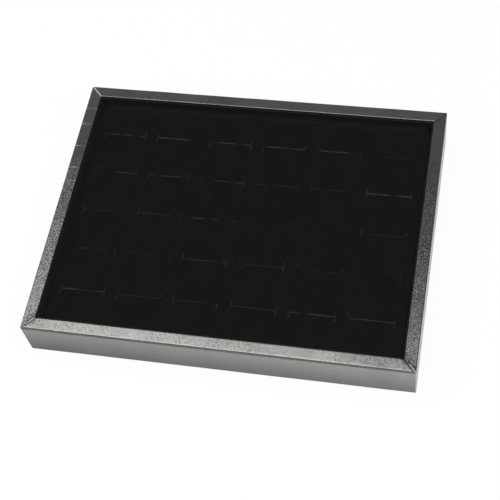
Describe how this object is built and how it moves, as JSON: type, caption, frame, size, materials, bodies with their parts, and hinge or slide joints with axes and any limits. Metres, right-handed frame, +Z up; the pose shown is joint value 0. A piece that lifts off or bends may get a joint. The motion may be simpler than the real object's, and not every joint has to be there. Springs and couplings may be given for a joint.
{
  "type": "ring display tray",
  "caption": "Shallow rectangular jewelry tray: a mitred, leatherette-wrapped frame holding a lift-out velvet pad with slits for rings.",
  "frame": {"origin": "on the resting surface, under the middle of the tray", "axes": "+X along the tray's long side, to the right seen from the front; +Y from the front rail to the back rail; +Z up, out of the tray"},
  "size_m": [0.23, 0.178, 0.028],
  "materials": {
    "rail_board": "matte",
    "leatherette": "satin",
    "lining_velvet": "matte",
    "hardboard": "matte",
    "base_felt": "matte",
    "nail_steel": "satin",
    "greyboard": "matte",
    "foam": "matte",
    "pad_velvet": "matte"
  },
  "bodies": {
    "tray": {"front_rail": "rail_board", "back_rail": "rail_board", "left_rail": "rail_board", "right_rail": "rail_board", "front_wrap": "leatherette", "back_wrap": "leatherette", "left_wrap": "leatherette", "right_wrap": "leatherette", "front_wall_lining": "lining_velvet", "back_wall_lining": "lining_velvet", "left_wall_lining": "lining_velvet", "right_wall_lining": "lining_velvet", "floor_lining": "lining_velvet", "base_panel": "hardboard", "bottom_cover": "base_felt", "corner_v_nails": "nail_steel", "base_brads": "nail_steel"},
    "ring_pad": {"pad_backing_board": "greyboard", "pad_foam": "foam", "pad_velvet": "pad_velvet"}
  },
  "joints": [
    {"name": "pad_lift", "type": "slide", "parent": "tray", "child": "ring_pad", "axis": [0, 0, 1], "range_m": [0, 0.04]}
  ]
}
